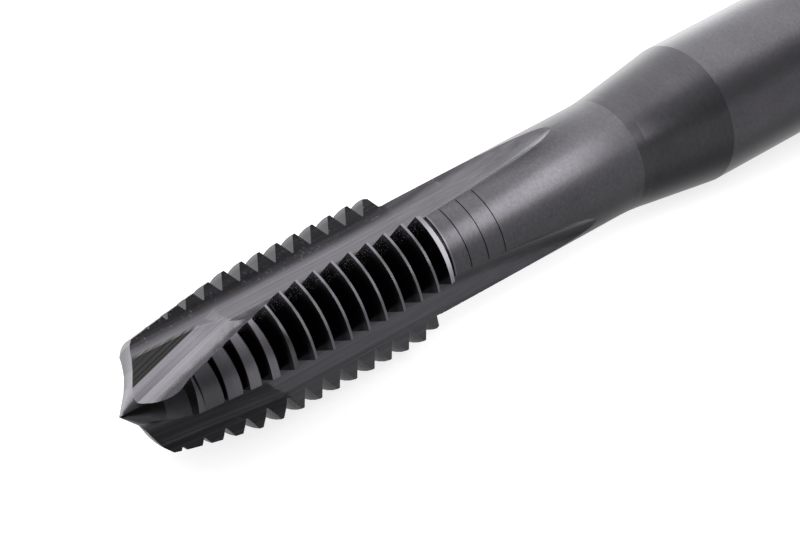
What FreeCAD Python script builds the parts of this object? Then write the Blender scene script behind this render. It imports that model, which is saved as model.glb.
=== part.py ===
"""Machine tap M10 x 1.5, one ground piece: external centre point, tapered lead,
right-hand 60 degree thread on three lands, three straight flutes with a spiral
point, ground neck, reinforced cylindrical shank and driving square.

Row frame, millimetres: X runs along the tool axis with the origin on the axis at
the shank's end face and the point at +X; Z is up. The tap lies on its side, so the
lowest line is that of the shank and of one land.
Body frame: local Z along the axis from the point (z = 0) to the shank's end, one
land centred on local X, flutes centred on 60, 180 and 300 degrees."""
import FreeCAD, Part
import math
import os
import Sketcher

V = FreeCAD.Vector
doc = FreeCAD.newDocument("machine_tap")

# ---------------------------------------------------------------- dimensions
sheet = doc.addObject("Spreadsheet::Sheet", "dims")
DIMS = [
    # overall
    ("total_len", 103.58, "point to end face"),
    ("shank_dia", 10.0, "cylindrical shank"),
    ("end_chamfer_len", 1.1, "axial length of the end chamfer"),
    ("end_face_dia", 7.2, "flat end face"),
    ("centre_mouth_dia", 3.35, "60 degree centre hole, mouth"),
    ("centre_pilot_dia", 1.6, "centre hole, pilot"),
    ("centre_depth", 3.6, "centre hole, depth of the pilot"),
    # square
    ("square_af", 8.0, "driving square across flats"),
    ("square_len", 11.0, "length of the full flats"),
    ("square_cutter_rad", 3.0, "run-out radius of the flats"),
    # neck and cone
    ("neck_dia", 8.0, "ground neck"),
    ("neck_end", 42.05, "where the neck meets the cone"),
    ("neck_blend_len", 1.6, "short soft blend before the cone"),
    ("cone_half_deg", 7.5, "neck to shank cone, half angle"),
    ("relief_depth", 0.035, "fine relief at the end of the thread"),
    # thread
    ("major_dia", 10.0, "over the crests"),
    ("pitch", 1.5, "thread pitch"),
    ("root_dia", 7.9, "at the bottom of the thread grooves"),
    ("crest_flat", 0.1875, "pitch / 8"),
    ("flank_half_deg", 30.0, "half of the thread angle"),
    ("thread_phase", 0.575, "first groove centre on the land centred on X"),
    ("thread_turns", 19.2, "turns of the wheel path, the last three only graze the neck"),
    ("thread_bevel_start", 23.15, "bevel behind the last thread, at the crests"),
    ("thread_bevel_end", 24.152, "its lower edge"),
    ("bevel_low_rad", 4.6, "radius at that edge"),
    ("step_foot", 24.3, "foot of the step down to the neck"),
    ("relief_end", 24.72, "end of the shallow relief behind the step"),
    # point and lead
    ("point_z", 1.42, "end of the inner cone"),
    ("point_rad", 1.31, "its radius"),
    ("face_z", 2.06, "soft break in the flatter face"),
    ("face_rad", 2.15, "its radius"),
    ("brow_z", 2.93, "end of the flatter face"),
    ("brow_rad", 3.6, "its radius"),
    ("rim_z", 3.565, "where the rim meets the lead, before relief"),
    ("rim_rad", 4.22, "its radius"),
    ("lead_end_z", 9.2, "where the lead reaches the full diameter, before relief"),
    ("relief_shift", 0.27, "sideways shift of the axis of a land's relieved lead"),
    ("lead_ref_z", 3.58, "a point on the relieved lead"),
    ("lead_ref_rad", 4.084, "its radius about the shifted axis"),
    ("lead_slope", 0.1331, "rise of the lead per mm"),
    ("lead_far_z", 12.2, "end of the relief cut"),
    # flutes
    ("flute_half_deg", 30.35, "half of a flute's opening at the crests"),
    ("flute_root_rad", 2.12, "rounding at the bottom of a flute"),
    ("flute_core_rad", 2.3, "distance of the bottom from the axis"),
    ("flute_straight", 19.75, "full depth up to here"),
    ("wheel_rad", 96.0, "radius of the run-out"),
    ("wheel_sweep_deg", 16.0, "sweep of the run-out cut"),
    ("flute_outer", 8.5, "outer limit of the cut"),
    # spiral point
    ("gun_slope_y", -0.2422, "sideways run of the point cut per mm of length"),
    ("gun_slope_x", -0.0248, "depth run of the point cut per mm of length"),
    ("gun_cx", 3.0126, "centre of the rounded cutting face, x"),
    ("gun_cy", -1.806, "the same, y"),
    ("gun_rad", 2.708, "its radius near the axis"),
    ("gun_rad_out", 1.81, "its radius towards the edge"),
    ("gun_wall_x", 3.95, "where the rounded face ends, x"),
    ("gun_lip_x", 4.3, "start of the straight face, x"),
    ("gun_lip_y", 0.52, "the same, y"),
    ("gun_out_x", 6.51, "outer limit of the face, x"),
    ("gun_out_y", 0.29, "outer limit of the face, y"),
    ("gun_arc_end_x", 0.97, "where the rounded face ends near the axis, x"),
    ("gun_crease_x", 0.63, "crease between the face and the floor facet, x"),
    ("gun_crease_y", -0.85, "the same, y"),
    ("gun_floor_x", 0.43, "floor facet, outer end, x"),
    ("gun_floor_y", -2.15, "the same, y"),
    ("gun_len", 16.0, "length of the point cut"),
    # lying position
    ("rest_roll_deg", 48.4, "roll about the axis as the tap lies"),
]
for i, (alias, value, note) in enumerate(DIMS, start=1):
    sheet.set("A%d" % i, alias)
    sheet.set("B%d" % i, repr(value))
    sheet.set("C%d" % i, note)
    sheet.setAlias("B%d" % i, alias)
doc.recompute()
D = {alias: float(sheet.get(alias)) for alias, _, _ in DIMS}


def ref(text):
    """Prefix every alias in an expression with the sheet's name."""
    out, word = "", ""
    for ch in text + " ":
        if ch.isalnum() or ch == "_":
            word += ch
        else:
            out += ("dims." + word) if word in D else word
            out += ch
            word = ""
    return out.strip()


def val(text):
    """Value of the same expression, for the first position of a sketch's points."""
    names = {"tan": lambda a: math.tan(math.radians(a)), "sin": lambda a: math.sin(math.radians(a)),
             "cos": lambda a: math.cos(math.radians(a)), "sqrt": math.sqrt}
    return Calc(text.replace("1 deg", "1"), names).run()


class Calc:
    """Small reader of + - * / ( ) expressions with the sheet's names."""

    def __init__(self, text, names):
        self.names = names
        self.toks = []
        i = 0
        while i < len(text):
            ch = text[i]
            if ch.isspace():
                i += 1
            elif ch.isdigit() or ch == ".":
                j = i
                while j < len(text) and (text[j].isdigit() or text[j] == "."):
                    j += 1
                self.toks.append(float(text[i:j]))
                i = j
            elif ch.isalpha():
                j = i
                while j < len(text) and (text[j].isalnum() or text[j] == "_"):
                    j += 1
                self.toks.append(text[i:j])
                i = j
            else:
                self.toks.append(ch)
                i += 1
        self.k = 0

    def peek(self):
        return self.toks[self.k] if self.k < len(self.toks) else None

    def take(self):
        self.k += 1
        return self.toks[self.k - 1]

    def run(self):
        x = self.term()
        while self.peek() in ("+", "-"):
            x = x + self.term() if self.take() == "+" else x - self.term()
        return x

    def term(self):
        x = self.unit()
        while self.peek() in ("*", "/"):
            x = x * self.unit() if self.take() == "*" else x / self.unit()
        return x

    def unit(self):
        tok = self.take()
        if tok == "-":
            return -self.unit()
        if tok == "(":
            x = self.run()
            self.take()
            return x
        if isinstance(tok, float):
            return tok
        if tok in self.names:
            self.take()
            x = self.run()
            self.take()
            return self.names[tok](x)
        return D[tok]


# ---------------------------------------------------------------- the body
body = doc.addObject("PartDesign::Body", "tap_body")
body.Label = "tap_body"


def origin_item(role):
    return [f for f in body.Origin.OriginFeatures if f.Role == role][0]


def new_sketch(name, plane, offset=None):
    sk = body.newObject("Sketcher::SketchObject", name)
    sk.AttachmentSupport = [(origin_item(plane), "")]
    sk.MapMode = "FlatFace"
    if offset:
        sk.AttachmentOffset = FreeCAD.Placement(V(0, 0, val(offset)), FreeCAD.Rotation())
        sk.setExpression("AttachmentOffset.Base.z", ref(offset))
    return sk


def pin_point(sk, geo, pos, x, y, name):
    """Hold a point at x, y, both given as expressions in the sheet's names."""
    for axis, text in (("X", x), ("Y", y)):
        c = sk.addConstraint(Sketcher.Constraint("Distance" + axis, -1, 1, geo, pos, val(text)))
        sk.renameConstraint(c, name + axis.lower())
        sk.setExpression("Constraints." + name + axis.lower(), ref(text))


def polygon(sk, pts, tag):
    """Closed outline of straight lines through points given as expressions."""
    n = len(pts)
    xy = [V(val(x), val(y), 0) for x, y in pts]
    ids = [sk.addGeometry(Part.LineSegment(xy[i], xy[(i + 1) % n]), False) for i in range(n)]
    for i in range(n):
        sk.addConstraint(Sketcher.Constraint("Coincident", ids[i], 2, ids[(i + 1) % n], 1))
    for i, (x, y) in enumerate(pts):
        pin_point(sk, ids[i], 1, x, y, "%s%d" % (tag, i))
    return ids


# blank: the whole turned and ground outline, (radius, z) turned about local Z.
# Sketch X is the radius, sketch Y runs along the axis.
shank_start = "neck_end + (shank_dia - neck_dia) / 2 / tan(cone_half_deg * 1 deg)"
blend_r = "neck_dia / 2 + neck_blend_len / 2 * tan(cone_half_deg * 1 deg) * 0.25"
blend_z = "neck_end"
blend_r2 = "neck_dia / 2 + neck_blend_len / 2 * tan(cone_half_deg * 1 deg)"
mouth_depth = "(centre_mouth_dia - centre_pilot_dia) / 2 / tan(30 * 1 deg)"
outline = [
    ("0", "0"),
    ("point_rad", "point_z"),
    ("face_rad", "face_z"),
    ("brow_rad", "brow_z"),
    ("rim_rad", "rim_z"),
    ("major_dia / 2", "lead_end_z"),
    ("major_dia / 2", "thread_bevel_start"),
    ("bevel_low_rad", "thread_bevel_end"),
    ("neck_dia / 2 - relief_depth", "step_foot"),
    ("neck_dia / 2 - relief_depth", "relief_end"),
    ("neck_dia / 2", "relief_end + relief_depth"),
    ("neck_dia / 2", "neck_end - neck_blend_len / 2"),
    (blend_r, blend_z),
    (blend_r2, "neck_end + neck_blend_len / 2"),
    ("shank_dia / 2", shank_start),
    ("shank_dia / 2", "total_len - end_chamfer_len"),
    ("end_face_dia / 2", "total_len"),
    ("centre_mouth_dia / 2", "total_len"),
    ("centre_pilot_dia / 2", "total_len - " + mouth_depth),
    ("centre_pilot_dia / 2", "total_len - centre_depth"),
    ("0", "total_len - centre_depth - centre_pilot_dia / 2 / tan(59 * 1 deg)"),
]
blank_sk = new_sketch("blank_outline", "XZ_Plane")
polygon(blank_sk, outline, "p")
blank = body.newObject("PartDesign::Revolution", "blank")
blank.Profile = blank_sk
blank.ReferenceAxis = (blank_sk, ["V_Axis"])
blank.Angle = 360.0
doc.recompute()


def flute_section(sk, tag):
    """Flute centred on local -X: rounded bottom, walls from the land corners tangent to it.
    Geometry 0 is the bottom arc, 1 and 4 its walls, 2 and 3 the outer closing lines."""
    r_c = val("flute_core_rad + flute_root_rad")
    rho = D["flute_root_rad"]
    big = D["major_dia"] / 2
    a = math.radians(D["flute_half_deg"])
    q = (-big * math.cos(a), big * math.sin(a))
    c = (-r_c, 0.0)
    vx, vy = c[0] - q[0], c[1] - q[1]
    dist = math.hypot(vx, vy)
    tl = math.sqrt(dist * dist - rho * rho)
    base = math.atan2(vy, vx)
    cand = []
    for s in (1, -1):
        ang = base + s * math.asin(rho / dist)
        cand.append((q[0] + tl * math.cos(ang), q[1] + tl * math.sin(ang)))
    t = max(cand, key=lambda p: p[0])
    ux, uy = (q[0] - t[0]) / tl, (q[1] - t[1]) / tl
    k = (-D["flute_outer"] - t[0]) / ux
    e = (t[0] + ux * k, t[1] + uy * k)
    # arc from the lower tangent point round the axis side to the upper one
    th = math.atan2(t[1] - c[1], t[0] - c[0])
    arc = sk.addGeometry(Part.ArcOfCircle(Part.Circle(V(c[0], c[1], 0), V(0, 0, 1), rho), -th, th), False)
    up = sk.addGeometry(Part.LineSegment(V(t[0], t[1], 0), V(e[0], e[1], 0)), False)
    out = sk.addGeometry(Part.LineSegment(V(e[0], e[1], 0), V(e[0], -e[1], 0)), False)
    low = sk.addGeometry(Part.LineSegment(V(e[0], -e[1], 0), V(t[0], -t[1], 0)), False)
    add = lambda *args: sk.addConstraint(Sketcher.Constraint(*args))
    # corners of the two lands, construction points on the crest circle
    qa = sk.addGeometry(Part.Point(V(q[0], q[1], 0)), True)
    qb = sk.addGeometry(Part.Point(V(q[0], -q[1], 0)), True)
    add("Tangent", arc, 2, up, 1)
    add("Coincident", up, 2, out, 1)
    add("Coincident", out, 2, low, 1)
    add("Tangent", low, 2, arc, 1)
    pin_point(sk, arc, 3, "0 - flute_core_rad - flute_root_rad", "0", tag + "c")
    rc = sk.addConstraint(Sketcher.Constraint("Radius", arc, rho))
    sk.renameConstraint(rc, tag + "rad")
    sk.setExpression("Constraints." + tag + "rad", ref("flute_root_rad"))
    pin_point(sk, qa, 1, "0 - major_dia / 2 * cos(flute_half_deg * 1 deg)",
              "major_dia / 2 * sin(flute_half_deg * 1 deg)", tag + "qa")
    pin_point(sk, qb, 1, "0 - major_dia / 2 * cos(flute_half_deg * 1 deg)",
              "0 - major_dia / 2 * sin(flute_half_deg * 1 deg)", tag + "qb")
    add("PointOnObject", qa, 1, up)
    add("PointOnObject", qb, 1, low)
    add("Vertical", out)
    xo = sk.addConstraint(Sketcher.Constraint("DistanceX", -1, 1, out, 1, -D["flute_outer"]))
    sk.renameConstraint(xo, tag + "out")
    sk.setExpression("Constraints." + tag + "out", ref("0 - flute_outer"))


def volume():
    doc.recompute()
    return body.Shape.Volume


def must_cut(before, name):
    after = volume()
    if not after < before - 0.5:
        raise RuntimeError(name + " removed nothing: %.3f -> %.3f" % (before, after))
    print("%-16s volume %.2f mm3" % (name, after))
    return after


vol = volume()
print("%-16s volume %.2f mm3" % ("blank", vol))

# thread: one right-hand helical groove from before the lead to the neck
groove_sk = new_sketch("thread_groove", "XZ_Plane")
root_r = "root_dia / 2"
over_r = "major_dia / 2 + 0.08"
half_root = "(pitch - crest_flat) / 2 - (major_dia - root_dia) / 2 * tan(flank_half_deg * 1 deg)"
half_over = "(pitch - crest_flat) / 2 + 0.08 * tan(flank_half_deg * 1 deg)"
polygon(groove_sk, [
    (root_r, "thread_phase - (" + half_root + ")"),
    (over_r, "thread_phase - (" + half_over + ")"),
    (over_r, "thread_phase + (" + half_over + ")"),
    (root_r, "thread_phase + (" + half_root + ")"),
], "t")
thread = body.newObject("PartDesign::SubtractiveHelix", "thread")
thread.Profile = groove_sk
thread.ReferenceAxis = (groove_sk, ["V_Axis"])
thread.Mode = 0
thread.Pitch = D["pitch"]
thread.Height = D["pitch"] * D["thread_turns"]
thread.setExpression("Pitch", ref("pitch"))
thread.setExpression("Height", ref("pitch * thread_turns"))
thread.LeftHanded = False
thread.Reversed = False
thread.Angle = 0
body.Tip = thread
vol = must_cut(vol, "thread")

# straight stretch of one flute
flute_sk = new_sketch("flute_section", "XY_Plane")
flute_section(flute_sk, "f")
flute = body.newObject("PartDesign::Pocket", "flute")
flute.Profile = flute_sk
flute.Length = D["flute_straight"]
flute.setExpression("Length", ref("flute_straight"))
flute.Reversed = True
vol = must_cut(vol, "flute")

# its run-out: the same section swept about the grinding wheel's axis
run_sk = new_sketch("flute_runout_section", "XY_Plane", "flute_straight")
flute_section(run_sk, "w")
wx = val("0 - flute_core_rad - wheel_rad")
wa = run_sk.addGeometry(Part.LineSegment(V(wx, -5, 0), V(wx, 5, 0)), True)
pin_point(run_sk, wa, 1, "0 - flute_core_rad - wheel_rad", "0 - 5", "wa")
pin_point(run_sk, wa, 2, "0 - flute_core_rad - wheel_rad", "5", "wb")
runout = body.newObject("PartDesign::Groove", "flute_runout")
runout.Profile = run_sk
runout.ReferenceAxis = (run_sk, ["Axis0"])
runout.Angle = D["wheel_sweep_deg"]
runout.setExpression("Angle", ref("wheel_sweep_deg"))
runout.Reversed = True
vol = must_cut(vol, "flute_runout")

# spiral point: a skewed cut with a rounded cutting face and a flat floor, opening
# the front of the flute centred on 300 degrees
gun_sk = new_sketch("spiral_point_section", "XY_Plane")
cx, cy, rr, r2 = D["gun_cx"], D["gun_cy"], D["gun_rad"], D["gun_rad_out"]
cy2 = cy + rr - r2
x_in, x_out = D["gun_arc_end_x"], D["gun_wall_x"]
y_in = cy + math.sqrt(rr * rr - (cx - x_in) ** 2)
y_out = cy2 + math.sqrt(r2 * r2 - (x_out - cx) ** 2)
a_in, a_out = math.atan2(y_in - cy, x_in - cx), math.atan2(y_out - cy2, x_out - cx)
inner = gun_sk.addGeometry(Part.ArcOfCircle(Part.Circle(V(cx, cy, 0), V(0, 0, 1), rr), math.pi / 2, a_in), False)
outer = gun_sk.addGeometry(Part.ArcOfCircle(Part.Circle(V(cx, cy2, 0), V(0, 0, 1), r2), a_out, math.pi / 2), False)
chain = [("gun_lip_x", "gun_lip_y"), ("gun_out_x", "gun_out_y"), ("gun_out_x", "0 - 6.8"), ("1.17", "0 - 3.4"),
         ("gun_floor_x", "gun_floor_y"), ("gun_crease_x", "gun_crease_y")]
pts = [V(x_out, y_out, 0)] + [V(val(x), val(y), 0) for x, y in chain] + [V(x_in, y_in, 0)]
lines = [gun_sk.addGeometry(Part.LineSegment(pts[i], pts[i + 1]), False) for i in range(len(pts) - 1)]
gun_sk.addConstraint(Sketcher.Constraint("Tangent", inner, 1, outer, 2))
gun_sk.addConstraint(Sketcher.Constraint("Coincident", outer, 1, lines[0], 1))
for i in range(len(lines) - 1):
    gun_sk.addConstraint(Sketcher.Constraint("Coincident", lines[i], 2, lines[i + 1], 1))
gun_sk.addConstraint(Sketcher.Constraint("Coincident", lines[-1], 2, inner, 2))
pin_point(gun_sk, inner, 3, "gun_cx", "gun_cy", "gc")
for geo, size, name in ((inner, "gun_rad", "grad"), (outer, "gun_rad_out", "gradb")):
    c = gun_sk.addConstraint(Sketcher.Constraint("Radius", geo, D[size]))
    gun_sk.renameConstraint(c, name)
    gun_sk.setExpression("Constraints." + name, ref(size))
for geo, pos, text, name in ((outer, 3, "gun_cx", "gcb"), (outer, 1, "gun_wall_x", "gwx"),
                             (inner, 2, "gun_arc_end_x", "gfx")):
    c = gun_sk.addConstraint(Sketcher.Constraint("DistanceX", -1, 1, geo, pos, val(text)))
    gun_sk.renameConstraint(c, name)
    gun_sk.setExpression("Constraints." + name, ref(text))
for i, (x, y) in enumerate(chain):
    pin_point(gun_sk, lines[i], 2, x, y, "g%d" % i)
gun = body.newObject("PartDesign::Pocket", "spiral_point")
gun.Profile = gun_sk
gun.UseCustomVector = True
gun.Direction = V(D["gun_slope_x"], D["gun_slope_y"], 1)
gun.setExpression("Direction.x", ref("gun_slope_x"))
gun.setExpression("Direction.y", ref("gun_slope_y"))
gun.AlongSketchNormal = True
gun.Length = D["gun_len"]
gun.setExpression("Length", ref("gun_len"))
vol = must_cut(vol, "spiral_point")

# relief of the tapered lead: on each land it is turned about an axis shifted towards
# the cutting edge, so the radius falls from that edge to the heel
lead_sk = new_sketch("lead_relief_section", "XZ_Plane", "relief_shift")
line_r = lambda z: "lead_ref_rad + (" + z + " - lead_ref_z) * lead_slope"
polygon(lead_sk, [
    (line_r("3.1"), "3.1"),
    ("major_dia / 2 + 0.9", "3.1"),
    ("major_dia / 2 + 0.9", "lead_far_z"),
    (line_r("lead_far_z"), "lead_far_z"),
], "r")
relief = body.newObject("PartDesign::Groove", "lead_relief")
relief.Profile = lead_sk
relief.ReferenceAxis = (lead_sk, ["V_Axis"])
relief.Angle = 84.0
relief.Midplane = True
vol = must_cut(vol, "lead_relief")

# three of each round the axis
pattern = body.newObject("PartDesign::PolarPattern", "three_flutes")
pattern.Originals = [flute, runout, gun, relief]
pattern.Axis = (origin_item("Z_Axis"), [""])
pattern.Angle = 360
pattern.Occurrences = 3
body.Tip = pattern
vol = must_cut(vol, "three_flutes")

# driving square: one flat with its run-out, cut right across, then four of them
sq_sk = new_sketch("square_flat", "XZ_Plane")
flat, rad = D["square_af"] / 2, D["square_cutter_rad"]
z0 = D["total_len"] - D["square_len"]
reach = D["shank_dia"] / 2 + 0.6 - flat
dz = math.sqrt(rad * rad - (rad - reach) ** 2)
ctr = V(flat + rad, z0, 0)
a1 = math.atan2(-dz, reach - rad)
arc = sq_sk.addGeometry(Part.ArcOfCircle(Part.Circle(ctr, V(0, 0, 1), rad), math.pi, a1 + 2 * math.pi), False)
xo = flat + reach
zt = D["total_len"] + 1
l1 = sq_sk.addGeometry(Part.LineSegment(V(xo, z0 - dz, 0), V(xo, zt, 0)), False)
l2 = sq_sk.addGeometry(Part.LineSegment(V(xo, zt, 0), V(flat, zt, 0)), False)
l3 = sq_sk.addGeometry(Part.LineSegment(V(flat, zt, 0), V(flat, z0, 0)), False)
for a, b, c, d in ((arc, 2, l1, 1), (l1, 2, l2, 1), (l2, 2, l3, 1)):
    sq_sk.addConstraint(Sketcher.Constraint("Coincident", a, b, c, d))
sq_sk.addConstraint(Sketcher.Constraint("Tangent", l3, 2, arc, 1))
sq_sk.addConstraint(Sketcher.Constraint("Vertical", l1))
sq_sk.addConstraint(Sketcher.Constraint("Vertical", l3))
sq_sk.addConstraint(Sketcher.Constraint("Horizontal", l2))
pin_point(sq_sk, arc, 3, "square_af / 2 + square_cutter_rad", "total_len - square_len", "sc")
c = sq_sk.addConstraint(Sketcher.Constraint("Radius", arc, rad))
sq_sk.renameConstraint(c, "srad")
sq_sk.setExpression("Constraints.srad", ref("square_cutter_rad"))
pin_point(sq_sk, l1, 2, "shank_dia / 2 + 0.6", "total_len + 1", "so")
square = body.newObject("PartDesign::Pocket", "square_flat_cut")
square.Profile = sq_sk
square.Midplane = True
square.Length = D["shank_dia"] + 4
square.setExpression("Length", ref("shank_dia + 4"))
body.Tip = square
vol = must_cut(vol, "square_flat_cut")
sq_pattern = body.newObject("PartDesign::PolarPattern", "four_flats")
sq_pattern.Originals = [square]
sq_pattern.Axis = (origin_item("Z_Axis"), [""])
sq_pattern.Angle = 360
sq_pattern.Occurrences = 4
body.Tip = sq_pattern
vol = must_cut(vol, "four_flats")

# lying on its side, the shank's end face at the origin and the point at +X
body.Placement = FreeCAD.Placement(
    V(D["total_len"], 0, 0),
    FreeCAD.Rotation(V(0, 1, 0), -90).multiply(FreeCAD.Rotation(V(0, 0, 1), D["rest_roll_deg"])),
)
doc.recompute()

# ---------------------------------------------------------------- checks and files
for obj in doc.Objects:
    if "Invalid" in obj.State or "Error" in obj.State:
        raise RuntimeError("%s: %s" % (obj.Name, obj.State))
os.makedirs("parts", exist_ok=True)
for part in (body,):
    shape = part.Shape
    if shape.isNull() or not shape.isValid() or len(shape.Solids) != 1:
        raise RuntimeError("%s has no single valid solid" % part.Label)
    box = shape.BoundBox
    print("%s: %d faces, %.1f mm3, box %.2f %.2f %.2f to %.2f %.2f %.2f" % (
        part.Label, len(shape.Faces), shape.Volume, box.XMin, box.YMin, box.ZMin, box.XMax, box.YMax, box.ZMax))
    shape.exportStep("parts/%s.step" % part.Label)
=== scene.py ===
"""Machine tap on a pale studio floor, seen as in the photo."""
import math

import bpy
import numpy as np
from mathutils import Matrix, Vector


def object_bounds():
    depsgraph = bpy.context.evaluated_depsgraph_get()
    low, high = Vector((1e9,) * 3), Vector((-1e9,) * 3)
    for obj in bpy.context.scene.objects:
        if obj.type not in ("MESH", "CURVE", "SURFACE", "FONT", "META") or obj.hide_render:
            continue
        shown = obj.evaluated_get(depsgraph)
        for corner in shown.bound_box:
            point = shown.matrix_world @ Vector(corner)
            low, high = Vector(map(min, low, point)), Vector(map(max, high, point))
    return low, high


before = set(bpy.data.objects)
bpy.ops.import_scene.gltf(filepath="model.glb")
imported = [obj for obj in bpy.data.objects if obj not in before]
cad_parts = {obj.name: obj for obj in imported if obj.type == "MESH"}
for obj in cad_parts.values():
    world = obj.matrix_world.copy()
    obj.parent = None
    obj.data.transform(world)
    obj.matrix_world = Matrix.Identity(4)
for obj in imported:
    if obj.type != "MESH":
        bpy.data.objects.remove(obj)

CAD_LOW, CAD_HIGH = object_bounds()

LEN = 0.10358          # end face to point, along X
ROLL = math.radians(48.4)          # turn of the tap about its own axis as it lies


# ------------------------------------------------------------------ node helpers
def new_material(name):
    mat = bpy.data.materials.new(name)
    mat.use_nodes = True
    nt = mat.node_tree
    nt.nodes.clear()
    return mat, nt


class Nodes:
    """Short writing for shader nodes."""

    def __init__(self, nt):
        self.nt = nt

    def add(self, kind, **props):
        n = self.nt.nodes.new(kind)
        for k, v in props.items():
            setattr(n, k, v)
        return n

    def link(self, a, b):
        self.nt.links.new(a, b)

    def feed(self, socket, value):
        if isinstance(value, bpy.types.NodeSocket):
            self.link(value, socket)
        else:
            socket.default_value = value

    def math(self, op, a, b=0.0, c=0.0, clamp=False):
        n = self.add("ShaderNodeMath", operation=op, use_clamp=clamp)
        for s, v in zip(n.inputs, (a, b, c)):
            self.feed(s, v)
        return n.outputs[0]

    def vec(self, x, y, z):
        n = self.add("ShaderNodeCombineXYZ")
        for s, v in zip(n.inputs, (x, y, z)):
            self.feed(s, v)
        return n.outputs[0]

    def noise(self, vector, scale, detail=4.0, rough=0.55):
        n = self.add("ShaderNodeTexNoise")
        self.feed(n.inputs["Vector"], vector)
        n.inputs["Scale"].default_value = scale
        n.inputs["Detail"].default_value = detail
        n.inputs["Roughness"].default_value = rough
        return n.outputs[0]

    def ramp(self, value, lo, hi, a=0.0, b=1.0, smooth=False):
        n = self.add("ShaderNodeMapRange", interpolation_type="SMOOTHSTEP" if smooth else "LINEAR")
        n.clamp = True
        self.feed(n.inputs[0], value)
        for s, v in zip(list(n.inputs)[1:5], (lo, hi, a, b)):
            self.feed(s, v)
        return n.outputs[0]

    def mix(self, fac, a, b):
        n = self.add("ShaderNodeMix", data_type="RGBA")
        self.feed(n.inputs[0], fac)
        self.feed(n.inputs[6], a)
        self.feed(n.inputs[7], b)
        return n.outputs[2]


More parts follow.
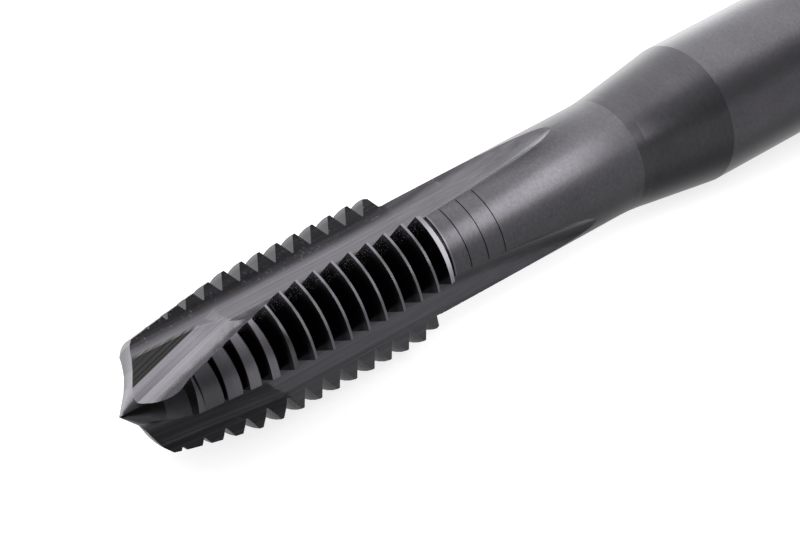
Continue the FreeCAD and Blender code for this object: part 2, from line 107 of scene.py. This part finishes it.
# ------------------------------------------------------------------ the tap's coat
def tap_material():
    mat, nt = new_material("coated_steel")
    N = Nodes(nt)
    out = N.add("ShaderNodeOutputMaterial")
    bsdf = N.add("ShaderNodeBsdfPrincipled")
    N.link(bsdf.outputs[0], out.inputs[0])
    coord = N.add("ShaderNodeTexCoord")
    sep = N.add("ShaderNodeSeparateXYZ")
    N.link(coord.outputs["Object"], sep.inputs[0])
    nsep = N.add("ShaderNodeSeparateXYZ")
    N.link(coord.outputs["Normal"], nsep.inputs[0])
    M = N.math

    # millimetres: h from the point, (lx, ly) across with lx on the middle of the upper land
    h = M("MULTIPLY_ADD", sep.outputs[0], -1000.0, LEN * 1000.0)
    wy = M("MULTIPLY", sep.outputs[1], 1000.0)
    wz = M("MULTIPLY", sep.outputs[2], 1000.0)
    sr, cr = math.sin(ROLL), math.cos(ROLL)
    lx = M("MULTIPLY_ADD", wy, sr, M("MULTIPLY", wz, cr))
    ly = M("MULTIPLY_ADD", wy, cr, M("MULTIPLY", wz, -sr))
    r = M("SQRT", M("MULTIPLY_ADD", wy, wy, M("MULTIPLY", wz, wz)))
    psi = M("ARCTAN2", ly, lx)
    third = math.radians(60)
    phi = M("WRAP", psi, third, -third)                         # round each land
    phg = M("WRAP", psi, math.radians(20), math.radians(-100))  # round each point cut
    gx = M("MULTIPLY_ADD", h, 0.0248, M("MULTIPLY", r, M("COSINE", phg)))
    gy = M("MULTIPLY_ADD", h, 0.2422, M("MULTIPLY", r, M("SINE", phg)))

    # which way the surface faces: along the axis, outwards, round
    n_ax = M("ABSOLUTE", nsep.outputs[0])
    inv_r = M("DIVIDE", 1.0, M("MAXIMUM", r, 0.05))
    n_out = M("MULTIPLY", M("MULTIPLY_ADD", nsep.outputs[1], wy, M("MULTIPLY", nsep.outputs[2], wz)), inv_r)
    n_round = M("ABSOLUTE", M("MULTIPLY", M("SUBTRACT", M("MULTIPLY", nsep.outputs[2], wy),
                                          M("MULTIPLY", nsep.outputs[1], wz)), inv_r))
    threaded = M("MULTIPLY", N.ramp(h, 2.6, 3.0), N.ramp(h, 24.8, 24.4))
    in_flutes = N.ramp(h, 39.5, 38.5)
    not_ax = N.ramp(n_ax, 0.55, 0.45)
    flute = M("MULTIPLY", M("MULTIPLY", in_flutes, not_ax),
              M("MAXIMUM", N.ramp(n_round, 0.10, 0.2), N.ramp(r, 3.88, 3.82)))
    flank = M("MULTIPLY", M("MULTIPLY", threaded, N.ramp(n_ax, 0.5, 0.65)), N.ramp(n_round, 0.3, 0.2))
    flank = M("MULTIPLY", flank, N.ramp(h, 3.9, 4.1))
    skin = M("SUBTRACT", 1.0, M("MAXIMUM", flute, flank))       # crests, lands, neck and shank

    # the point cut: how far off its cutting face and its floor facet the spot is
    def near(value, width):
        return N.ramp(M("ABSOLUTE", value), width, width * 0.6)

    def hyp(cx, cy):
        ax, ay = M("SUBTRACT", gx, cx), M("SUBTRACT", gy, cy)
        return M("SQRT", M("MULTIPLY_ADD", ax, ax, M("MULTIPLY", ay, ay)))

    arc_in = M("MULTIPLY", near(M("SUBTRACT", hyp(3.0126, -1.806), 2.708), 0.05), N.ramp(gx, 3.02, 3.0))
    arc_out = M("MULTIPLY", near(M("SUBTRACT", hyp(3.0126, -0.908), 1.81), 0.05), N.ramp(gx, 3.0, 3.02))
    lip = M("MULTIPLY", near(M("SUBTRACT", gy, M("MULTIPLY_ADD", gx, -0.2, 1.42)), 0.09), N.ramp(gx, 3.93, 3.97))
    strip = M("MULTIPLY", near(M("SUBTRACT", gx, M("MULTIPLY_ADD", gy, 0.41, 0.978)), 0.05), N.ramp(gy, 0.0, -0.02))
    face = M("MAXIMUM", M("MAXIMUM", arc_in, arc_out), M("MAXIMUM", lip, strip))
    face = M("MULTIPLY", M("MULTIPLY", face, flute), N.ramp(gy, -0.87, -0.84))
    face = M("MULTIPLY", face, N.ramp(h, 14.5, 13.5))
    facet = M("MULTIPLY", near(M("SUBTRACT", gx, M("MULTIPLY_ADD", gy, 0.154, 0.761)), 0.06), N.ramp(gy, -0.84, -0.87))
    facet = M("MULTIPLY", M("MULTIPLY", facet, flute), N.ramp(h, 8.6, 8.2))
    slanted = M("MAXIMUM", face, facet)

    # grinding lines: along the flutes, along the point cut, round the rest
    long_v = N.vec(M("MULTIPLY", h, 0.07), M("MULTIPLY", lx, 7.0), M("MULTIPLY", ly, 7.0))
    long_f = N.noise(long_v, 1.0, 4.0, 0.65)
    long_w = N.noise(N.vec(M("MULTIPLY", h, 0.05), M("MULTIPLY", lx, 1.6), M("MULTIPLY", ly, 1.6)), 1.0, 3.0, 0.5)
    cut_f = N.noise(N.vec(M("MULTIPLY", gx, 7.5), M("MULTIPLY", gy, 7.5), M("MULTIPLY", h, 0.06)), 1.0, 3.0, 0.65)
    cut_w = N.noise(N.vec(M("MULTIPLY", gx, 1.6), M("MULTIPLY", gy, 1.6), M("MULTIPLY", h, 0.03)), 1.0, 2.0, 0.5)
    fac_f = N.noise(N.vec(M("MULTIPLY", gy, 11.0), 0.0, M("MULTIPLY", h, 0.02)), 1.0, 1.0, 0.5)
    lead = M("MULTIPLY_ADD", psi, -1.5 / (2 * math.pi), h)
    round_v = N.vec(M("MULTIPLY", lead, 9.0), M("MULTIPLY", r, 9.0), M("MULTIPLY", psi, 2.0))
    round_f = N.noise(round_v, 1.0, 4.0, 0.6)
    grain = N.noise(N.vec(M("MULTIPLY", h, 6.0), M("MULTIPLY", lx, 2.6), M("MULTIPLY", ly, 2.6)), 1.0, 4.0, 0.6)
    turned = N.noise(N.vec(M("MULTIPLY", h, 7.0), M("MULTIPLY", lx, 0.25), M("MULTIPLY", ly, 0.25)), 1.0, 3.0, 0.6)
    cloud = N.noise(N.vec(M("MULTIPLY", h, 0.35), M("MULTIPLY", lx, 0.5), M("MULTIPLY", ly, 0.5)), 1.0, 3.0, 0.5)
    grit = N.noise(N.vec(M("MULTIPLY", h, 5.0), M("MULTIPLY", lx, 5.0), M("MULTIPLY", ly, 5.0)), 1.0, 3.0, 0.6)
    fine = N.noise(N.vec(M("MULTIPLY", h, 11.0), M("MULTIPLY", lx, 11.0), M("MULTIPLY", ly, 11.0)), 1.0, 2.0, 0.6)

    def centred(v, gain):
        return M("MULTIPLY", M("SUBTRACT", v, 0.5), gain)

    def pick(mask, v):
        return M("MULTIPLY", mask, v)

    plain_flute = M("MULTIPLY", flute, M("SUBTRACT", 1.0, slanted))
    # brightness of the coat, 1 on average
    tone = M("ADD", 1.0, centred(cloud, 0.25))
    tone = M("ADD", tone, pick(plain_flute, M("ADD", centred(long_f, 0.95), centred(long_w, 0.6))))
    upper = N.ramp(psi, math.radians(25), math.radians(15))
    # painted highlight: the point cut's faces on the upper side are lighter towards the point; the grinding streaks run
    # over all of them
    tone = M("ADD", tone, pick(face, M("ADD", M("MULTIPLY", upper, N.ramp(h, 13.0, 8.0, 0.25, 0.85)),
                                       M("ADD", centred(cut_f, 1.5), centred(cut_w, 0.5)))))
    # painted shade: the flutes away from the upper side are a little darker towards the point
    lower_flute_shade = M("MULTIPLY", M("MULTIPLY", flute, M("SUBTRACT", 1.0, upper)), N.ramp(h, 16.0, 7.0, smooth=True))
    tone = M("SUBTRACT", tone, M("MULTIPLY", lower_flute_shade, 0.1))
    tone = M("ADD", tone, pick(skin, centred(grain, 0.35)))
    tone = M("ADD", tone, pick(flank, centred(round_f, 0.5)))
    ground_back = M("MULTIPLY", skin, N.ramp(h, 24.4, 24.8))
    cone = M("MULTIPLY", ground_back, N.ramp(n_ax, 0.04, 0.07))
    tone = M("SUBTRACT", tone, M("MULTIPLY", ground_back, 0.12))
    # painted shade: the cone is a little darker than the neck, where the neck's highlight ends
    tone = M("SUBTRACT", tone, M("MULTIPLY", cone, 0.15))
    neck = M("SUBTRACT", ground_back, cone)
    thick = M("MULTIPLY", ground_back, N.ramp(h, 42.0, 42.6))
    tone = M("ADD", tone, M("MULTIPLY", thick, centred(turned, 0.16)))
    # the neck: mottled grit, and a painted highlight that grows towards the cone
    tone = M("ADD", tone, M("MULTIPLY", neck, M("ADD", centred(grit, 0.55), N.ramp(h, 33.0, 40.0, 0.0, 0.12))))
    # painted shade on the neck beside the run-out edge of the flutes, fading towards the cone
    neck_shade_at_flute = M("MULTIPLY", N.ramp(phi, math.radians(-28), math.radians(-41)), N.ramp(h, 40.0, 35.0))
    tone = M("SUBTRACT", tone, M("MULTIPLY", M("MULTIPLY", neck, neck_shade_at_flute), 0.5))
    tone = M("ADD", tone, pick(plain_flute, N.ramp(h, 30.0, 34.0, 0.12, -0.08)))
    # the crests are lighter where the coat has worn thin, with a painted highlight along the middle of each land that
    # is strongest towards the point; the bevel behind them and the very front are lighter as well
    crest = M("MULTIPLY", M("MULTIPLY", threaded, skin), M("MULTIPLY", N.ramp(r, 4.955, 4.985), N.ramp(h, 9.0, 10.5)))
    bevel = M("MULTIPLY", N.ramp(h, 23.1, 23.2), M("MULTIPLY", N.ramp(r, 4.55, 4.6), N.ramp(h, 24.2, 24.16)))
    middle = N.ramp(M("ABSOLUTE", phi), math.radians(16), math.radians(3), smooth=True)
    tone = M("ADD", tone, M("MULTIPLY", crest, M("MULTIPLY_ADD", middle, N.ramp(h, 17.5, 22.0, 2.6, 0.3), 0.6)))
    lead_land = M("MULTIPLY", M("MULTIPLY", threaded, skin), M("MULTIPLY", N.ramp(h, 5.0, 7.5), N.ramp(h, 10.5, 9.0)))
    tone = M("ADD", tone, M("MULTIPLY", lead_land, M("ADD", 1.0, centred(round_f, 1.2))))
    # painted shade over the end of the point cut in the flute
    run_out_shade = M("MULTIPLY", M("MULTIPLY", face, upper), M("MULTIPLY", N.ramp(h, 6.8, 8.2), N.ramp(gy, 0.3, -0.3)))
    tone = M("SUBTRACT", tone, M("MULTIPLY", run_out_shade, 0.45))
    tone = M("ADD", tone, M("MULTIPLY", M("MULTIPLY", bevel, N.ramp(n_round, 0.3, 0.2)), 0.2))
    # foot of the step behind the bevel: a painted shadow line with a painted highlight on its edge
    foot = M("MULTIPLY", skin, M("MULTIPLY", N.ramp(h, 24.2, 24.25), N.ramp(h, 24.81, 24.77)))
    foot_edge = M("MULTIPLY", skin, M("MULTIPLY", N.ramp(h, 24.77, 24.81), N.ramp(h, 24.92, 24.88)))
    tone = M("ADD", tone, M("MULTIPLY_ADD", foot, -0.75, M("MULTIPLY", foot_edge, 0.6)))
    tone = M("ADD", tone, M("MULTIPLY", M("MULTIPLY", skin, N.ramp(h, 3.7, 3.4)), 0.25))
    tone = M("ADD", tone, pick(facet, M("ADD", -0.1, centred(fac_f, 4.0))))

    # torn metal near the cutting edges of the thread, small pits on the backs of the teeth
    torn_at = M("MULTIPLY", flank, N.ramp(phi, math.radians(-17), math.radians(-25)))
    torn = M("MULTIPLY", torn_at, N.ramp(fine, 0.61, 0.67))
    back_wall = M("MULTIPLY", M("MULTIPLY", plain_flute, threaded), N.ramp(phi, math.radians(22), math.radians(28)))
    back_wall = M("MULTIPLY", back_wall, N.ramp(r, 3.0, 4.0))
    pits = M("MULTIPLY", back_wall, N.ramp(grit, 0.64, 0.72))
    tone = M("ADD", tone, M("MULTIPLY", pits, 0.3))
    tone = M("ADD", tone, M("MULTIPLY", torn, 0.9))
    # painted shade: the back walls of the teeth are darker
    tone = M("SUBTRACT", tone, M("MULTIPLY", back_wall, 0.65))
    # painted shade in the grooves, darker the deeper they are
    groove_shade = M("MULTIPLY", M("SUBTRACT", flank, torn), N.ramp(r, 4.95, 4.6, 0.3, 0.75))
    tone = M("MULTIPLY", tone, M("SUBTRACT", 1.0, groove_shade))
    tone = M("MAXIMUM", tone, 0.1)

    coat = N.add("ShaderNodeCombineColor")
    N.feed(coat.inputs[0], M("MULTIPLY", tone, 0.082))
    N.feed(coat.inputs[1], M("MULTIPLY", tone, 0.079))
    N.feed(coat.inputs[2], M("MULTIPLY", tone, 0.087))
    green = N.mix(M("MULTIPLY", facet, 0.4), coat.outputs[0], (0.052, 0.057, 0.049, 1.0))
    N.link(green, bsdf.inputs["Base Color"])
    bsdf.inputs["Metallic"].default_value = 1.0
    rough = M("ADD", 0.25, centred(fine, 0.04))
    rough = M("ADD", rough, pick(plain_flute, centred(long_f, 0.12)))
    rough = M("ADD", rough, M("MULTIPLY", torn, 0.12))
    rough = M("ADD", rough, M("MULTIPLY", cone, 0.05))
    rough = M("ADD", rough, M("MULTIPLY", M("SUBTRACT", ground_back, cone), M("MULTIPLY", N.ramp(h, 44.0, 42.0), 0.11)))
    N.link(rough, bsdf.inputs["Roughness"])

    # height in millimetres of the lines, the torn spots and the pits
    height = M("ADD", pick(plain_flute, centred(long_f, 0.006)), pick(face, centred(cut_f, 0.004)))
    height = M("ADD", height, pick(facet, centred(fac_f, 0.006)))
    height = M("ADD", height, pick(skin, centred(grain, 0.003)))
    height = M("ADD", height, pick(thick, centred(turned, 0.0012)))
    height = M("ADD", height, pick(flank, centred(round_f, 0.004)))
    height = M("ADD", height, M("MULTIPLY", torn, 0.05))
    height = M("ADD", height, M("MULTIPLY", pits, -0.03))
    bump = N.add("ShaderNodeBump")
    bump.inputs["Strength"].default_value = 1.0
    bump.inputs["Distance"].default_value = 0.001
    N.link(height, bump.inputs["Height"])
    N.link(bump.outputs[0], bsdf.inputs["Normal"])
    return mat


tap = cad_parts["tap_body"]
tap.data.materials.clear()
tap.data.materials.append(tap_material())


def true_round(ob):
    """On faces that are round about the axis the shading normals are taken from the axis,
    so that neither the facets of the mesh nor the line where a face starts and ends shows."""
    ng = bpy.data.node_groups.new("true_round", "GeometryNodeTree")
    ng.interface.new_socket(name="Geometry", in_out="INPUT", socket_type="NodeSocketGeometry")
    ng.interface.new_socket(name="Geometry", in_out="OUTPUT", socket_type="NodeSocketGeometry")
    N = Nodes(ng)
    M = N.math
    start, end = N.add("NodeGroupInput"), N.add("NodeGroupOutput")
    place, facing = N.add("ShaderNodeSeparateXYZ"), N.add("ShaderNodeSeparateXYZ")
    given = N.add("GeometryNodeInputNormal").outputs[0]
    N.link(N.add("GeometryNodeInputPosition").outputs[0], place.inputs[0])
    N.link(given, facing.inputs[0])
    px, py, pz = place.outputs
    nx, ny, nz = facing.outputs
    inv_r = M("DIVIDE", 1.0, M("MAXIMUM", M("SQRT", M("MULTIPLY_ADD", py, py, M("MULTIPLY", pz, pz))), 1e-5))
    uy, uz = M("MULTIPLY", py, inv_r), M("MULTIPLY", pz, inv_r)
    outwards = M("MULTIPLY_ADD", ny, uy, M("MULTIPLY", nz, uz))
    turned = M("ABSOLUTE", M("SUBTRACT", M("MULTIPLY", nz, uy), M("MULTIPLY", ny, uz)))
    across = M("SQRT", M("MAXIMUM", M("SUBTRACT", 1.0, M("MULTIPLY", nx, nx)), 0.0))
    fac = M("MULTIPLY", N.ramp(outwards, 0.80, 0.85), N.ramp(turned, 0.16, 0.13))
    mixer = N.add("ShaderNodeMix", data_type="VECTOR")
    N.feed(mixer.inputs[0], fac)
    N.feed(mixer.inputs[4], given)
    N.feed(mixer.inputs[5], N.vec(nx, M("MULTIPLY", uy, across), M("MULTIPLY", uz, across)))
    put = N.add("GeometryNodeSetMeshNormal", mode="FREE", domain="CORNER")
    N.link(start.outputs[0], put.inputs["Mesh"])
    N.link(mixer.outputs[1], put.inputs["Custom Normal"])
    N.link(put.outputs[0], end.inputs[0])
    mod = ob.modifiers.new("true_round", "NODES")
    mod.node_group = ng


true_round(tap)


# ------------------------------------------------------------------ floor and light
def plain(name, color, rough, glow):
    mat, nt = new_material(name)
    N = Nodes(nt)
    out = N.add("ShaderNodeOutputMaterial")
    bsdf = N.add("ShaderNodeBsdfPrincipled")
    N.link(bsdf.outputs[0], out.inputs[0])
    bsdf.inputs["Base Color"].default_value = color
    bsdf.inputs["Roughness"].default_value = rough
    bsdf.inputs["Emission Color"].default_value = (1, 1, 1, 1)
    bsdf.inputs["Emission Strength"].default_value = glow
    return mat


def floor_mesh():
    me = bpy.data.meshes.new("floor")
    s = 3.0
    zf = CAD_LOW.z - 0.00002
    me.from_pydata([(-s, -s, zf), (s, -s, zf), (s, s, zf), (-s, s, zf)], [], [(0, 1, 2, 3)])
    ob = bpy.data.objects.new("floor", me)
    bpy.context.scene.collection.objects.link(ob)
    me.materials.append(plain("floor_white", (0.36, 0.36, 0.36, 1), 0.9, 0.78))
    return ob


floor = floor_mesh()
floor.visible_glossy = False      # the coat mirrors the studio, not the sheet it lies on

# soft studio: wide soft light from behind and above, a narrower one from the left, dim in front
def studio():
    world = bpy.data.worlds.new("studio")
    bpy.context.scene.world = world
    world.use_nodes = True
    nt = world.node_tree
    nt.nodes.clear()
    N = Nodes(nt)
    M = N.math
    out = N.add("ShaderNodeOutputWorld")
    bg = N.add("ShaderNodeBackground")
    N.link(bg.outputs[0], out.inputs[0])
    coord = N.add("ShaderNodeTexCoord")
    sep = N.add("ShaderNodeSeparateXYZ")
    N.link(coord.outputs["Generated"], sep.inputs[0])
    dx, dy, dz = sep.outputs

    def lobe(azimuth, elevation, inner, outer):
        """1 within the inner angle of a direction, 0 past the outer one."""
        a, e = math.radians(azimuth), math.radians(elevation)
        c = (math.cos(a) * math.cos(e), math.sin(a) * math.cos(e), math.sin(e))
        dot = M("MULTIPLY_ADD", dx, c[0], M("MULTIPLY_ADD", dy, c[1], M("MULTIPLY", dz, c[2])))
        return N.ramp(dot, math.cos(math.radians(outer)), math.cos(math.radians(inner)), smooth=True)

    flat = M("SQRT", M("MAXIMUM", M("SUBTRACT", 1.0, M("MULTIPLY", dz, dz)), 1e-6))
    a = math.radians(-119)
    side = M("DIVIDE", M("MULTIPLY_ADD", dx, math.cos(a), M("MULTIPLY", dy, math.sin(a))), flat)
    back = N.ramp(side, -0.12, 0.28, smooth=True)
    back = M("MULTIPLY", back, N.ramp(dz, -0.6, 0.0, 0.12, 1.0, smooth=True))
    top = N.ramp(dz, 0.82, 0.97, smooth=True)
    dim = M("ADD", N.ramp(dz, 0.15, 0.42, 0.80, 0.40, smooth=True), N.ramp(dz, 0.55, 0.8, 0.0, 0.3))
    dim = M("MULTIPLY", dim, N.ramp(dz, -0.75, -0.35, 0.5, 1.0, smooth=True))
    light = M("MULTIPLY_ADD", back, 1.75, dim)
    light = M("MAXIMUM", light, M("MULTIPLY", top, 2.0))
    light = M("ADD", light, M("MULTIPLY", lobe(-65, 15, 10, 42), 1.5))
    light = M("ADD", light, M("MULTIPLY", lobe(172, 7, 6, 26), 3.0))
    for azimuth, elevation, inner, outer, cut in ((30, 0, 14, 42, 0.98), (5, 10, 5, 30, 0.6), (84, 22, 10, 20, 0.9),
                                                (84, -8, 10, 20, 0.9), (98, -34, 6, 22, 0.6)):
        light = M("MULTIPLY", light, M("SUBTRACT", 1.0, M("MULTIPLY", lobe(azimuth, elevation, inner, outer), cut)))
    N.link(light, bg.inputs[1])
    bg.inputs[0].default_value = (1, 1, 1, 1)


def area(name, loc, along, short_side, long_side, power):
    """Soft panel that faces down, with its long side along a direction in the plane."""
    li = bpy.data.lights.new(name, "AREA")
    li.shape = "RECTANGLE"
    li.size, li.size_y = short_side, long_side
    li.energy = power
    ob = bpy.data.objects.new(name, li)
    ob.location = loc
    ob.rotation_euler = (0.0, 0.0, math.atan2(along[1], along[0]) - math.pi / 2)
    ob.visible_camera = False
    bpy.context.scene.collection.objects.link(ob)
    return ob


studio()
# a small panel above the shank side that lights the neck
area("neck_panel", (0.0642, 0.0116, 0.0115), (-5.5, 14), 0.0145, 0.0130, 0.0033)
bpy.context.scene.view_settings.view_transform = "Standard"

# ------------------------------------------------------------------ camera of the photo
cam_data = bpy.data.cameras.new("photo_camera")
cam_data.sensor_width = 36.0
cam_data.lens = 190.196
cam_data.clip_start = 0.02
cam_data.clip_end = 10.0
cam = bpy.data.objects.new("photo_camera", cam_data)
bpy.context.scene.collection.objects.link(cam)
right = Vector((-0.729844881, 0.683612793, -0.00000448))
up = Vector((-0.39392257, -0.42055783, 0.81728583))
back = Vector((0.55870516, 0.59649364, 0.57623249))
m = Matrix((right, up, back)).transposed().to_4x4()
m.translation = Vector((0.23204537, 0.16234148, 0.15677135))
cam.matrix_world = m
bpy.context.scene.camera = cam
